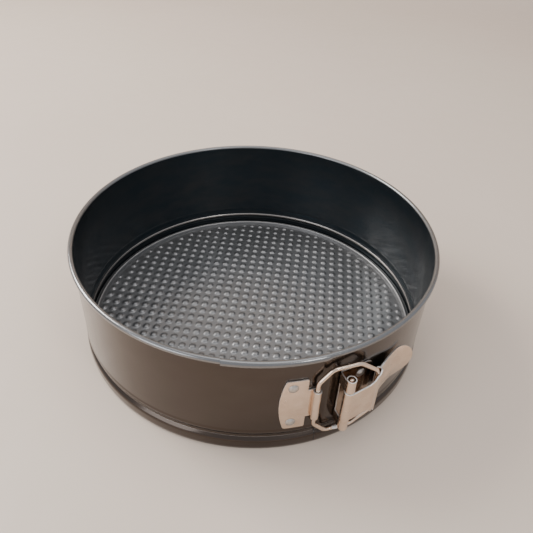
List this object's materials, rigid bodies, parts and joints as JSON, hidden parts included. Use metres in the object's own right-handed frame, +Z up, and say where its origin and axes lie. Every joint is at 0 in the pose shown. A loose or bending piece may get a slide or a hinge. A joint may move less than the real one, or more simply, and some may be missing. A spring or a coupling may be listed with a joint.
{
  "type": "springform pan",
  "caption": "Round springform baking pan: a split side band with rolled rim clamped round a loose embossed base by an over-centre lever and wire bail.",
  "frame": {"origin": "the pan's axis at the resting plane", "axes": "+Z up, latch towards -Y, +X to the right seen from the latch"},
  "size_m": [0.2358, 0.2444, 0.0745],
  "materials": {
    "base_coat": "satin non-stick coating, embossed",
    "band_coat": "glossy non-stick coating, rolled sheet",
    "plated_steel": "bright nickel plate with sheared edges",
    "rivet_metal": "dull formed heads"
  },
  "bodies": {
    "base": {"base_plate": "base_coat"},
    "band_main": {"band_right": "band_coat", "hinge_bracket": "plated_steel", "pivot_pin": "plated_steel", "bracket_rivet_upper": "rivet_metal", "bracket_rivet_lower": "rivet_metal"},
    "band_swing": {"band_left": "band_coat", "catch_plate": "plated_steel", "catch_rivet_upper": "rivet_metal", "catch_rivet_lower": "rivet_metal"},
    "bail": {"bail_loop": "plated_steel"},
    "lever": {"clamp_lever": "plated_steel"}
  },
  "joints": [
    {"name": "band_lift", "type": "slide", "parent": "base", "child": "band_main", "axis": [0, 0, 1], "range_m": [0, 0.08]},
    {"name": "lever_swing", "type": "hinge", "parent": "band_main", "child": "lever", "pos_m": [0.0065, -0.1234, 0.0382], "axis": [0, 0, -1], "range_deg": [0, 110]},
    {"name": "band_spread", "type": "hinge", "parent": "band_main", "child": "band_swing", "pos_m": [0, 0.1179, 0.0382], "axis": [0, 0, -1], "range_deg": [0, 2.65]},
    {"name": "bail_swing", "type": "hinge", "parent": "band_swing", "child": "bail", "pos_m": [-0.0093, -0.1178, 0.0382], "axis": [0, 0, -1], "range_deg": [0, 40.8]}
  ],
  "couplings": [
    {"joint": "band_spread", "follows": "lever_swing", "ratio": 0.02401},
    {"joint": "bail_swing", "follows": "lever_swing", "ratio": 0.3706}
  ]
}
